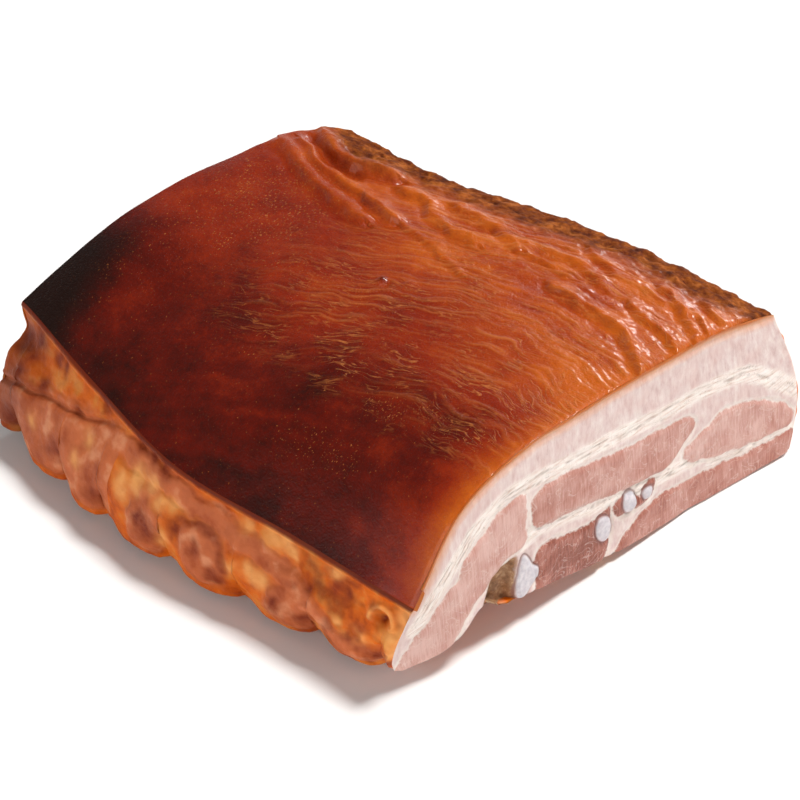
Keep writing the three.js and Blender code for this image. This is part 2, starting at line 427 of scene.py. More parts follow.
def rind_detail(p, sizes):
    """Height of the rind's folds and creases in mm, and its RIND_SHADES."""
    x, y = p[:, 0], p[:, 1]
    flat = np.stack((x, y, np.zeros(len(x))), axis=1)
    strip_edge = np.interp(x, *zip(*STRIP_EDGE)) + 5 * noise(flat, 9, 1)
    strip = ramp(y - strip_edge + 4 * noise(flat, 4, 11), -5, 7)

    height = 0.8 * noise(flat, 34, 2) + 0.4 * noise(flat, 15, 3)
    bent_x, bent_y = x + 1.6 * noise(flat, 8, 4), y + 1.8 * noise(flat, 6, 5)
    folded = np.zeros(len(x))
    for line, half_width, rise in FOLDS:
        away, side, _ = line_frame(bent_x, bent_y, line)
        # Steep towards the thin edge with a groove at its foot, gentle towards the back
        width = half_width * (1 + 0.5 * noise(flat, 12, 19)) * np.where(side < 0, 0.62, 1.35)
        rise = rise * (0.35 + 0.65 * ramp(x, -104, -84))
        crest = rise * np.exp(-((away / width) ** 2))
        height += crest
        folded += crest
        height -= 0.35 * rise * hump(away, 1.5 * half_width, 0.6 * half_width) * (side < 0)
    line, half_width, dip = HOLLOW
    height -= dip * hump(to_line(bent_x, bent_y, line), 0, half_width)

    # Lanes run along X and turn down to the cut; creases lie in them
    slope = np.clip(x - 10, 0, None)
    across = y - 0.42 * x + 0.00425 * slope**2 + 5 * noise(flat, 17, 6) + 1.2 * noise(flat, 5, 7)
    draw = np.random.default_rng(21)
    # crease is the colour mask of the creases' crests, for their painted highlight
    crease = np.zeros(len(x))
    ridge = np.zeros(len(x))
    wobble_at = np.linspace(-75, 95, 60)
    for _ in range(sizes.creases):
        start = draw.uniform(-74, 84)
        length = draw.uniform(7, 30)
        lane = draw.uniform(-60, 88)
        strength = 0.2 + 0.8 * draw.uniform() ** 1.5
        half_width = draw.uniform(0.3, 0.5)
        wobble = np.cumsum(draw.normal(size=len(wobble_at))) * 0.34
        t = (x - start) / length
        near = np.flatnonzero((t > 0) & (t < 1) & (np.abs(across - lane) < 6))
        away = across[near] - lane - np.interp(x[near], wobble_at, wobble)
        swell = strength * np.sin(np.pi * t[near]) ** 0.6
        here = swell * np.exp(-((away / half_width) ** 2))
        crease[near] = np.maximum(crease[near], here * (0.6 + 0.4 * strength))
        ridge[near] += here - 0.35 * swell * np.exp(-(((away - 1.6) / 1.1) ** 2))
    wrinkled = ramp(x, -75, 0) * ramp(y, -54, -36) * (1 - strip) * ramp(noise(flat, 20, 9), -0.5, -0.1)
    crease *= wrinkled
    height += sizes.crease_height / MM * wrinkled * np.clip(ridge, -0.5, 1.3)
    # Pleats: broader waves in the same lanes, near the back
    lanes = np.stack((x, across, np.zeros(len(x))), axis=1)
    pleated = ramp(y + 0.35 * x, 0, 45) * (1 - 0.4 * strip)
    pleats = pleated * (0.7 * noise(lanes, (18, 5.2, 1), 8) + 0.5 * noise(lanes, (11, 2.4, 1), 10))
    height += pleats + pleated * (0.3 * noise(p, 3.2, 20) + 0.2 * noise(p, 1.7, 22))

    # Rough dried strip over the back
    lumps = 1.2 * noise(p, 9, 13) + 1.0 * noise(p, 4, 14) + 0.5 * noise(p, 1.8, 15)
    height += strip * lumps
    pits = np.zeros(len(x))
    for pit_x, pit_y in STRIP_PITS:
        pits = np.maximum(pits, hump(np.hypot((bent_x - pit_x) / 1.7, bent_y - pit_y), 0, 1.5))
    height -= 0.9 * pits
    # The rind's lip curls down over the fresh cut
    height -= 0.9 * fade(CUT_X - x, 2.4)
    dot = lambda place, radius: hump(np.hypot(x - place[0], y - place[1]), 0, radius)
    nub = dot(NUB, 1.5)
    height += 1.2 * nub - 0.7 * dot(NUB_HOLLOW, 1.7) + 0.7 * dot(LOW_NUB, 1.6)

    # Painted glints: how strongly the pale flecks crowd at each place
    glints = np.zeros(len(x))
    for (patch_x, patch_y), (half_x, half_y), strength in GLINT_PATCHES:
        away = np.hypot((x - patch_x) / half_x, (y - patch_y) / half_y) + 0.8 * noise(flat, 9, 18)
        glints = np.maximum(glints, strength * ramp(1.3 - away, 0, 0.8))

    # Painted light on the crests of the pleats and folds, painted shade in the pleats' valleys
    smoke_and_shading = smoke_and_painted_shading(p) + 0.3 * nub + 0.5 * pits - 0.22 * pleats - 0.05 * folded * (1 - strip)
    smoke_and_shading += 0.13 * noise(lanes, (34, 4.5, 1), 12) * ramp(x, -80, 0)
    # The creases' painted highlight shows less where the rind is darker
    crease *= 1 - 0.6 * ramp(smoke_and_shading, 0.33, 0.58)
    return height, crease, across, strip, glints, wrinkled, smoke_and_shading.clip(0, 1)


def smoke_and_painted_shading(p):
    """How dark the smoke has dyed the surface, near black at the far lower corner, with painted shade down
    the slope to the thin lower edge, painted light on the flatter upper rind and a painted amber glow by the
    cut.
    """
    x, y = p[:, 0], p[:, 1]
    flat = np.stack((x, y, np.zeros(len(x))), axis=1)
    smoke_and_shading = 0.4 + 0.14 * noise(flat, 42, 16) + 0.08 * noise(flat, 14, 17)
    # Painted shade: darker down the front slope of the rind, except by the cut
    smoke_and_shading += 0.24 * ramp(-y, 12, 46) * ramp(-x, -88, -60)
    smoke_and_shading += 0.42 * hump(x, -106, 14) * hump(y, -78, 26)
    # Painted shade: darker still over the last 24 mm before the thin lower edge
    edge_y = np.interp(x, (-105, -62, -12, 38, 89), (-78, -85.5, -91, -84, -80))
    smoke_and_shading += 0.12 * fade(y - edge_y, 24)
    smoke_and_shading += 0.1 * fade(x + 110, 45) * ramp(-y, -45, -10)
    # Painted light: paler over the flatter upper rind
    smoke_and_shading -= 0.27 * ramp(y + 0.3 * x, -10, 38)
    # Painted glow: paler amber by the cut, standing in for light through the thin rind
    smoke_and_shading -= 0.22 * fade(CUT_X - x, 14) + 0.15 * fade(CUT_X - x, 50)
    return smoke_and_shading


def cut_detail(p, depth):
    """Height of the cut's relief in mm, and its CUT_SHADES."""
    y, z = p[:, 1], p[:, 2]
    flat = np.stack((y, z, np.zeros(len(y))), axis=1)
    bent_y, bent_z = y + 1.5 * noise(flat, 7, 35) + 0.5 * noise(flat, 2.5, 36), z + 1.5 * noise(flat, 6, 37)
    meat = np.full(len(y), FAR_OUTSIDE)
    shade = np.zeros(len(y))
    for outline, tone in zip(CUT_MUSCLES + (RIB_MEAT_STRIP,), MUSCLE_SHADES + (0.8,)):
        to_edge = inside(bent_y, bent_z, outline)
        shade = np.where(to_edge > meat, tone, shade)
        meat = np.maximum(meat, to_edge)
    gristle = inside(y + 0.6 * noise(flat, 5, 38), z, BONE)
    for (cy, cz), (half_y, half_z), lean in CARTILAGES:
        dy = y - cy
        dz = z - cz - lean * dy
        oval = np.hypot(dy / half_y, dz / half_z)
        gristle = np.maximum(gristle, (1 - oval) * min(half_y, half_z))
    recess = inside(y, z, RECESS)

    draw = np.random.default_rng(33)
    crack, streak = np.zeros(len(y)), np.zeros(len(y))
    for line, count, spread in CRACKED:
        away, side, place = line_frame(y, z, line)
        across = away * side + 0.8 * noise(flat, 6, 39)
        streak = np.maximum(streak, ramp(-away, -spread - 2.2, -spread + 0.4))
        end = place.max()
        for _ in range(count):
            start, length = draw.uniform(-5, end), draw.uniform(2.5, 13)
            offset, half_width = draw.normal() * 0.55 * spread, draw.uniform(0.16, 0.3)
            strength = draw.uniform(0.3, 1.0)
            slant = draw.uniform(-0.08, 0.08)
            t = (place - start) / length
            near = np.flatnonzero((t > 0) & (t < 1) & (away < 3 * spread))
            gap = across[near] - offset - slant * length * t[near]
            here = strength * np.sin(np.pi * t[near]) ** 0.5 * np.exp(-((gap / half_width) ** 2))
            crack[near] = np.maximum(crack[near], here)
    crack *= 1 - ramp(meat, -0.5, 0.5)

    height = 0.8 * noise(flat, 26, 30) + 0.25 * noise(flat, 7, 31)
    height += 0.5 * ramp(meat, -0.6, 2.5) - 0.35 * hump(meat, -0.2, 0.7)
    height += 0.12 * noise(flat, (1.6, 6, 1), 32) * ramp(meat, 0, 1.5)
    height += 0.45 * streak * noise(flat, (6, 1.6, 1), 33) - 0.35 * crack
    height -= 0.5 * hump(depth, 2.6, 1.2)
    height += 0.6 * ramp(gristle, -0.1, 1.4) - 0.6 * hump(gristle, -0.4, 0.45)
    hollow = ramp(recess, 0, 4) * (1 - ramp(gristle, -0.5, 0.5)) * ramp(z, 8, 13)
    height -= 4.5 * hollow * (1 + 0.5 * noise(flat, 4, 34))
    return height, meat, shade, gristle, recess, crack, streak


def side_detail(p, w, depth):
    """Height of the smoked side's relief in mm, and its SIDE_SHADES."""
    x = p[:, 0]
    flat = np.stack((x, p[:, 2], p[:, 1]), axis=1)
    tall = depth / np.maximum(w, 1e-3)
    bent_x = x + 3 * noise(flat, 7, 40) + 1.2 * noise(flat, 3, 41)
    down = depth + 3 * noise(flat, 7, 42) + 1.2 * noise(flat, 3, 43)
    crease_at = np.interp(x, *zip(*CREASE))
    below_crease = depth - crease_at * tall
    crease = np.exp(-((below_crease / 1.3) ** 2)) * ramp(-x, 42, 54)

    meat = np.full(len(x), FAR_OUTSIDE)
    lobes = np.zeros(len(x))
    for at_x, at_w, half_x, half_down in LOBES:
        oval = np.hypot((bent_x - at_x) / half_x, (down - at_w * tall) / half_down)
        meat = np.maximum(meat, (1 - oval) * half_x)
        lobes = np.maximum(lobes, ramp(1 - oval, -0.15, 0.5))
    band_at = np.interp(x, *zip(*SALMON_BAND)) * tall
    meat = np.maximum(meat, 4.5 - np.abs(down - band_at) + 3 * ramp(-x, 40, 70))
    # Meat fills the far half below the crease, apart from the thin fat under the lobes
    meat = np.where(x < -40, np.maximum(meat, below_crease * 0.8), meat)
    meat = np.minimum(meat, (MEAT_FOOT - w) * tall)

    scorched, pale = np.zeros(len(x)), np.zeros(len(x))
    for spots, shade in ((SCORCHED, scorched), (PALE_FAT, pale)):
        for at_x, at_w, radius in spots:
            away = np.hypot(bent_x - at_x, down - at_w * tall)
            np.minimum(shade + np.exp(-((away / radius) ** 2)), 1, out=shade)
    arc = to_line(bent_x, down, [(at_x, at_w * SIDE_TALL) for at_x, at_w in SCORCHED_ARC])
    scorched = np.maximum(scorched, 0.75 * hump(arc, 0, 1.8))
    mottled = ramp(noise(flat, 6.5, 47) + 0.5 * noise(flat, 3.2, 48), -0.15, 0.45)
    mottled *= ramp(x, 28, 48) * ramp(depth, 1, 4)
    scorched = np.maximum(scorched, 0.68 * mottled)
    pale = np.maximum(pale * (1 - 0.6 * mottled), 0.9 * ramp(x, 80, 87) * ramp(0.75 - w, 0, 0.2))

    height = 0.7 * noise(flat, 11, 44) + 0.4 * noise(flat, 5, 45) + 0.2 * noise(flat, 2.2, 46)
    height += 0.3 * lobes + 0.4 * ramp(meat, -1, 3) - 0.3 * hump(meat, 0, 1) - 1.8 * crease - 0.35 * scorched
    # The notches between the lobes are shallow above and deepen to the scalloped lower edge
    height += 3.0 * (1 - lobe(x)) * hump(w, 0.56, 0.24)
    height -= 0.7 * ramp(depth, 1.2, 2.6) * (1 - ramp(depth, 9, 16))
    # The vessel's end is a raised rim, coloured pale, over a small hole coloured dark brown through the
    # scorched shade
    turn = np.hypot(x - VESSEL[0], (w - VESSEL[1]) * tall)
    rim = hump(turn, 5.0, 1.3) * ramp(0.34 - w, -0.03, 0.03)
    height += 1.5 * rim - 2.0 * hump(turn, 0, 2.2)
    pale = np.maximum(pale, 0.8 * rim)
    scorched = np.maximum(scorched, 1.1 * hump(turn, 0, 2.2))
    return height, meat, pale, scorched


def surface_fields(p, u, v, w, sizes):
    """Displacement in mm and the named shades that the materials read, for each vertex."""
    on_rind, on_cut, on_under = w == 0, (u == 1) & (w > 0), w == 1
    on_side = ((u == 0) | (v == 0) | (v == 1)) & ~on_rind
    top = on_net(RIND, u, v)[:, 1]
    foot = np.maximum(on_net(UNDERSIDE, u, v)[:, 1], 0)
    depth = w * (top - foot)
    rind_line = catmull(RIND[-1], np.linspace(0, 1, 20))
    depth[on_cut] = to_line(p[on_cut, 1], p[on_cut, 2], rind_line)

    count = len(u)
    height = np.zeros(count)
    shades = {name: np.zeros(count) for name in RIND_SHADES + CUT_SHADES + SIDE_SHADES[1:]}
    shades["depth"] = depth
    shades["along"] = p[:, 0].copy()
    shades["gristle"][:] = FAR_OUTSIDE
    shades["recess"][:] = FAR_OUTSIDE
    shades["smoke_and_shading"] = smoke_and_painted_shading(p)

    skin = depth < SKIN_DEPTH
    detail, *rind_shades = rind_detail(p[skin], sizes)
    from_rind = 1 - ramp(depth, 0.5, 5)
    height[skin] = detail * np.where(on_rind[skin], 1, 0.7 * from_rind[skin])
    for name, values in zip(RIND_SHADES, rind_shades):
        shades[name][skin] = values

    # Far and back sides: the same layers as the cut's, smoked
    other = on_side & (v > 0)
    q = p[other]
    on_far = u[other] == 0
    y_cut = np.where(on_far, 1.12 * q[:, 1] + 6, 84 + 14 * noise(q, 30, 50))
    layers = np.stack((q[:, 0], y_cut + 5 * noise(q, 12, 51), q[:, 2] + 4 * noise(q, 14, 52)), axis=1)
    shades["meat"][other] = cut_detail(layers, depth[other])[1]
    bent = q + 4 * np.stack([noise(q, 9, seed) for seed in (57, 58, 59)], axis=1)
    streak = lambda seed: np.where(on_far, noise(bent, (18, 26, 7), seed), noise(bent, (26, 18, 7), seed))
    shades["pale"][other] = 0.75 * ramp(streak(56), 0.08, 0.45)
    shades["scorched"][other] = 0.8 * ramp(streak(64), 0.1, 0.5)
    rough = 2.2 * noise(q, 19, 53) + 1.2 * noise(q, 8, 54) + 0.5 * noise(q, 3.5, 55)
    height[other] += (0.9 * ramp(shades["meat"][other], -1, 3) + rough) * (1 - from_rind[other])
    # The upright corner between them is rounded off
    far_corner = np.where(u == 0, fade(SIDE_LENGTH * (1 - v), 9), 0)
    far_corner += np.where(v == 1, fade(SIDE_LENGTH * u, 9), 0)
    height -= 3.0 * np.clip(far_corner, 0, 1) * on_side

    smoked = on_side & (v == 0)
    relief, *side_shades = side_detail(p[smoked], w[smoked], depth[smoked])
    height[smoked] += relief * ramp(depth[smoked], 0.2, 1.6)
    for name, values in zip(SIDE_SHADES, side_shades):
        shades[name][smoked] = values

    relief, *cut_shades = cut_detail(p[on_cut], depth[on_cut])
    inner = ramp(depth[on_cut], 0, 1.5) * ramp(v[on_cut], 0, 0.012) * ramp(1 - v[on_cut], 0, 0.012)
    height[on_cut] = relief * inner
    for name, values in zip(CUT_SHADES, cut_shades):
        shades[name][on_cut] = values
    shades["along"][on_cut] = CUT_EDGE_LENGTH * v[on_cut]

    # Underside: dented inwards only, so that it still rests on its flat middle
    q = p[on_under]
    dents = 0.5 + noise(q, 8, 60) + 0.5 * noise(q, 3.5, 61)
    height[on_under] = -0.9 * np.clip(dents, 0, None)
    shades["meat"][on_under] = 4 - 12 * ramp(noise(q, (60, 9, 30), 62), 0.1, 0.4)
    shades["pale"][on_under] = ramp(noise(q, 9, 63), 0.1, 0.4)
    return height, shades


# --------------------------------------------------------------- materials


def linear(code):
    """A linear RGBA colour from an sRGB hex code."""
    parts = [int(code[k : k + 2], 16) / 255 for k in (1, 3, 5)]
    return [c / 12.92 if c <= 0.04045 else ((c + 0.055) / 1.055) ** 2.4 for c in parts] + [1.0]


def node(tree, kind, inputs=None, stops=None, **settings):
    """Adds a node with its settings, input values or links and colour ramp stops; gives its outputs."""
    made = tree.nodes.new("ShaderNode" + kind)
    for name, value in settings.items():
        setattr(made, name, value)
    for name, value in (inputs or {}).items():
        if isinstance(value, bpy.types.NodeSocket):
            tree.links.new(value, made.inputs[name])
        else:
            made.inputs[name].default_value = value
    if stops:
        elements = made.color_ramp.elements
        while len(elements) < len(stops):
            elements.new(1.0)
        for element, (place, colour) in zip(elements, stops):
            element.position = place
            element.color = linear(colour) if isinstance(colour, str) else colour
    return made.outputs


def new_material(name, shades=()):
    """An empty material, node() bound to its tree, and the mesh's named shades as sockets."""
    material = bpy.data.materials.new(name)
    material.use_nodes = True
    material.node_tree.nodes.clear()
    add = functools.partial(node, material.node_tree)
    return material, add, {shade: add("Attribute", attribute_name=shade)["Fac"] for shade in shades}


def thin_lines(add, field, width, strength):
    """Thin lines where a noise field crosses its middle value; width is in steps of the field."""
    off = add("Math", {0: field, 1: 0.5}, operation="SUBTRACT")[0]
    off = add("Math", {0: off}, operation="ABSOLUTE")[0]
    return add("MapRange", {"Value": off, "From Max": width, "To Min": strength, "To Max": 0})[0]


def close_material(add, colour, layers, inputs):
    """Lays the layers, each an amount and a colour, over the base colour and adds the shader."""
    for amount, over in layers:
        colour = add("Mix", {0: amount, 6: colour, 7: over}, data_type="RGBA")[2]
    shader = add("BsdfPrincipled", {"Base Color": colour, **inputs})
    add("OutputMaterial", {"Surface": shader["BSDF"]})


def per_mm(size):
    """Texture scale whose lumps measure size mm, in Object coordinates in metres."""
    return 1000 / size


def rind_material(colours):
    """Hot-smoked pork skin: dried and tanned amber to maroon by the smoke and by painted light and shade,
    with a waxy gloss, pale dry creases carrying a painted highlight, flecks of painted glint, and a rough
    matt strip along the back."""
    material, add, mesh = new_material("Hot-smoked pork rind", RIND_SHADES + ("along",))
    at = add("TexCoord")["Object"]
    blotch = add("TexNoise", {"Vector": at, "Scale": per_mm(12), "Detail": 5, "Roughness": 0.6})
    grain = add("TexNoise", {"Vector": at, "Scale": per_mm(1.6), "Detail": 4, "Roughness": 0.65})
    skin = add("TexNoise", {"Vector": at, "Scale": per_mm(0.7), "Detail": 3})
    uneven = add("MapRange", {"Value": blotch["Fac"], "To Min": -0.22, "To Max": 0.22})[0]
    mottle = add("MapRange", {"Value": grain["Fac"], "To Min": -0.12, "To Max": 0.12})[0]
    smoke_and_shading = add("Math", {0: mesh["smoke_and_shading"], 1: uneven})[0]
    smoke_and_shading = add("Math", {0: smoke_and_shading, 1: mottle})[0]
    tones = [(0.0, colours.rind_amber), (0.2, "#a23d10"), (0.4, "#86240a")]
    tones += [(0.62, colours.rind_maroon), (0.82, "#340c07"), (1.0, colours.rind_black)]
    colour = add("ValToRGB", {"Fac": smoke_and_shading}, tones)[0]
    layers = []

    # Painted glints: pale flecks under 1 mm across, crowded in patches
    dashes = add("VectorMath", {0: at, 1: (1.0, 0.4, 1.0)}, operation="MULTIPLY")[0]
    fleck = add("TexNoise", {"Vector": dashes, "Scale": per_mm(0.45), "Detail": 1, "Roughness": 0.4})["Fac"]
    crowd = add("MapRange", {"Value": mesh["glints"], "To Min": 0.74, "To Max": 0.64})[0]
    fleck = add("Math", {0: fleck, 1: crowd}, operation="SUBTRACT")[0]
    fleck = add("MapRange", {"Value": fleck, "From Max": 0.04, "To Max": 0.6})[0]
    layers.append((fleck, colours.crease))

    # Finest creases, 2 mm apart in the same lanes as the modelled ones, with a painted highlight along each
    lanes = add("CombineXYZ", {"X": mesh["along"], "Y": mesh["across"]})[0]
    lanes = add("VectorMath", {0: lanes, 1: (0.07, 0.42, 1)}, operation="MULTIPLY")[0]
    hair = add("TexNoise", {"Vector": lanes, "Scale": 1.0, "Detail": 2, "Roughness": 0.6, "Distortion": 0.4})
    hair = thin_lines(add, hair["Fac"], 0.03, 1)
    where = add("MapRange", {"Value": blotch["Fac"], "From Min": 0.42, "From Max": 0.56, "To Max": 0.6})[0]
    where = add("Math", {0: where, 1: mesh["wrinkled"]}, operation="MULTIPLY")[0]
    hair = add("Math", {0: hair, 1: where}, operation="MULTIPLY")[0]
    # Painted highlight: the crests of the modelled creases and the finest creases are coloured pale
    pale = add("Math", {0: mesh["crease"], 1: 0.55}, operation="MULTIPLY")[0]
    pale = add("Math", {0: pale, 1: hair}, operation="MAXIMUM")[0]
    layers.append((pale, colours.crease))

    # Dried strip over the back: brown with dark pits
    crust = add("TexNoise", {"Vector": at, "Scale": per_mm(5), "Detail": 6, "Roughness": 0.68})
    tones = [(0.34, "#2e1005"), (0.44, "#5c2808"), (0.54, colours.strip), (0.66, "#ad6228")]
    dried = add("ValToRGB", {"Fac": crust["Fac"]}, tones)[0]
    amount = add("MapRange", {"Value": mesh["strip"], "To Max": 0.9})[0]
    layers.append((amount, dried))
    # Near black where the rind is darkest: the strip's pits, the far lower corner, and the painted shade
    # just above the thin lower edge
    deepest_smoke_and_shade = add("MapRange", {"Value": mesh["smoke_and_shading"], "From Min": 0.7, "From Max": 0.95, "To Max": 0.8})[0]
    layers.append((deepest_smoke_and_shade, linear("#1e0e09")))

    height = add("Math", {0: grain["Fac"], 1: fleck})[0]
    height = add("Math", {0: height, 1: skin["Fac"]})[0]
    height = add("Math", {0: height, 1: hair})[0]
    bump = add("Bump", {"Height": height, "Distance": 0.0003, "Strength": 0.9})

    rough = add("MapRange", {"Value": grain["Fac"], "To Min": 0.16, "To Max": 0.42})[0]
    dry = add("Math", {0: mesh["strip"], 1: pale}, operation="MAXIMUM")[0]
    rough = add("Mix", {0: dry, 2: rough, 3: 0.8})[0]
    waxy = add("MapRange", {"Value": mesh["strip"], "To Min": 0.26, "To Max": 0})[0]
    surface = {
        "Roughness": rough,
        "Normal": bump[0],
        "Coat Weight": waxy,
        "IOR": 1.45,
        "Specular IOR Level": 0.14,
        "Coat Roughness": 0.13,
        "Subsurface Weight": 0.06,
        "Subsurface Scale": 0.002,
        "Subsurface Radius": (1.0, 0.35, 0.15),
    }
    close_material(add, colour, layers, surface)
    return material


def cut_material(colours):
    """Fresh cut through cured belly: moist, waxy white fat and pink fibred meat, with a thin
    orange line of rind, a crumbly cream seam and blue-white rib cartilage."""
    material, add, mesh = new_material("Fresh cut cured belly", CUT_SHADES + ("depth", "along"))
    at = add("TexCoord")["Object"]
    layer = add("CombineXYZ", {"X": mesh["along"], "Y": mesh["depth"]})[0]

    # Ragged edge for every border between fat and meat
    ragged = add("TexNoise", {"Vector": at, "Scale": per_mm(2.0), "Detail": 5, "Roughness": 0.65})
    rag = add("MapRange", {"Value": ragged["Fac"], "To Min": -1.3, "To Max": 1.3})[0]
    soft = add("TexNoise", {"Vector": at, "Scale": per_mm(10), "Detail": 4})

    # Fat: cells stand across the layers, streaks lie along them
    cells = add("VectorMath", {0: layer, 1: (0.36, 0.15, 1)}, operation="MULTIPLY")[0]
    cells = add("TexNoise", {"Vector": cells, "Scale": 1.0, "Detail": 4, "Roughness": 0.6})
    tones = [(0.3, "#cdaaa4"), (0.44, "#dcc1bb"), (0.58, colours.fat), (0.75, "#f2e3dc")]
    fat = add("ValToRGB", {"Fac": cells["Fac"]}, tones)[0]
    rosy = add("MapRange", {"Value": soft["Fac"], "From Min": 0.45, "From Max": 0.7, "To Max": 0.55})[0]
    fat = add("Mix", {0: rosy, 6: fat, 7: linear("#d9b5ad")}, data_type="RGBA")[2]
    lines = add("VectorMath", {0: layer, 1: (0.1, 0.9, 1)}, operation="MULTIPLY")[0]
    streaks = {"Vector": lines, "Scale": 1.0, "Detail": 5, "Roughness": 0.65, "Distortion": 0.3}
    streaks = add("TexNoise", streaks)
    tones = [(0.3, "#d3b5a5"), (0.42, "#ecd9cd"), (0.52, "#f7ebe2"), (0.7, colours.seam)]
    cream = add("ValToRGB", {"Fac": streaks["Fac"]}, tones)[0]
    in_seam = add("Math", {0: mesh["seam"], 1: 0.92}, operation="MULTIPLY")[0]
    fat = add("Mix", {0: in_seam, 6: fat, 7: cream}, data_type="RGBA")[2]

    # Meat: fine fibres across the layers, thin fat threads between them
    thin = add("VectorMath", {0: layer, 1: (1.2, 0.12, 1)}, operation="MULTIPLY")[0]
    fibres = add("TexNoise", {"Vector": thin, "Scale": 1.0, "Detail": 4, "Roughness": 0.65})
    tone = add("MapRange", {"Value": fibres["Fac"], "To Min": -0.6, "To Max": 0.6})[0]
    cloud = add("MapRange", {"Value": soft["Fac"], "To Min": -0.6, "To Max": 0.6})[0]
    tone = add("Math", {0: tone, 1: cloud})[0]
    tone = add("Math", {0: tone, 1: mesh["shade"]})[0]
    tones = [(0.0, colours.meat_pale), (0.3, "#ca978a"), (0.6, "#b77969")]
    tones += [(0.9, "#9f5a48"), (1.0, colours.meat_dark)]
    meat = add("ValToRGB", {"Fac": tone}, tones)[0]
    thread = {"Vector": at, "Scale": per_mm(9), "Detail": 3, "Roughness": 0.55, "Distortion": 0.9}
    thread = add("TexNoise", thread)
    thread = thin_lines(add, thread["Fac"], 0.014, 0.42)
    meat = add("Mix", {0: thread, 6: meat, 7: linear("#e6cfc5")}, data_type="RGBA")[2]
    meat_edge = add("Math", {0: mesh["meat"], 1: rag})[0]
    sheath = add("MapRange", {"Value": meat_edge, "From Min": -2.2, "From Max": -0.6, "To Max": 0.8})[0]
    fat = add("Mix", {0: sheath, 6: fat, 7: linear("#f1e4da")}, data_type="RGBA")[2]
    in_meat = add("MapRange", {"Value": meat_edge, "From Min": -0.3, "From Max": 0.4})[0]
    colour = add("Mix", {0: in_meat, 6: fat, 7: meat}, data_type="RGBA")[2]
    layers = []

    # Hairline cracks, 1 mm apart, between the larger modelled ones
    hair = add("VectorMath", {0: layer, 1: (0.16, 1.0, 1)}, operation="MULTIPLY")[0]
    hair = add("TexNoise", {"Vector": hair, "Scale": 1.0, "Detail": 3, "Roughness": 0.6, "Distortion": 0.5})
    hair = thin_lines(add, hair["Fac"], 0.016, 0.8)
    broken = add("MapRange", {"Value": ragged["Fac"], "From Min": 0.5, "From Max": 0.58})[0]
    hair = add("Math", {0: hair, 1: broken}, operation="MULTIPLY")[0]
    hair = add("Math", {0: hair, 1: mesh["seam"]}, operation="MULTIPLY")[0]
    cracked = add("Math", {0: mesh["crack"], 1: 0.7}, operation="MULTIPLY")[0]
    cracked = add("Math", {0: cracked, 1: hair}, operation="MAXIMUM")[0]
    layers.append((cracked, linear("#84604c")))

    # Rind in section: tanned line, then orange stain that fades into the fat
    stain = add("Math", {0: mesh["depth"], 1: rag})[0]
    stain = {"Value": stain, "From Min": 1.8, "From Max": 5.6, "To Min": 0.85, "To Max": 0}
    stain = add("MapRange", stain)[0]
    layers.append((stain, linear("#da935f")))
    line = {"Value": mesh["depth"], "From Min": 0.9, "From Max": 2.3, "To Min": 1, "To Max": 0}
    line = add("MapRange", line)[0]
    layers.append((line, linear("#bd6420")))

    # Hollow beside the rib end: smoked olive-brown membrane
    hollow = add("Math", {0: mesh["recess"], 1: rag})[0]
    hollow = add("MapRange", {"Value": hollow, "From Min": -0.2, "From Max": 1.0})[0]
    tones = [(0.3, "#7a5233"), (0.5, "#a1744f"), (0.7, "#c7a27c")]
    drab = add("ValToRGB", {"Fac": ragged["Fac"]}, tones)[0]
    layers.append((hollow, drab))

    # Cartilage and bone, each with a thin dark rim
    rim = add("MapRange", {"Value": mesh["gristle"], "From Min": -0.8, "From Max": -0.3, "To Max": 0.7})[0]
    layers.append((rim, linear("#8a5f5a")))
    hard = add("MapRange", {"Value": mesh["gristle"], "From Min": -0.1, "From Max": 0.4})[0]
    milky = add("ValToRGB", {"Fac": ragged["Fac"]}, [(0.35, "#c4bcc2"), (0.65, colours.cartilage)])[0]
    layers.append((hard, milky))

    lumps = add("Math", {0: fibres["Fac"], 1: ragged["Fac"]})[0]
    lumps = add("Math", {0: lumps, 1: streaks["Fac"]})[0]
    bump = add("Bump", {"Height": lumps, "Distance": 0.0004, "Strength": 0.5})
    rough = add("Mix", {0: in_meat, 2: 0.46, 3: 0.34})[0]
    surface = {
        "Roughness": rough,
        "Normal": bump[0],
        "IOR": 1.42,
        "Subsurface Weight": 0.15,
        "Subsurface Scale": 0.003,
        "Subsurface Radius": (1.0, 0.5, 0.35),
    }
    close_material(add, colour, layers, surface)
    return material


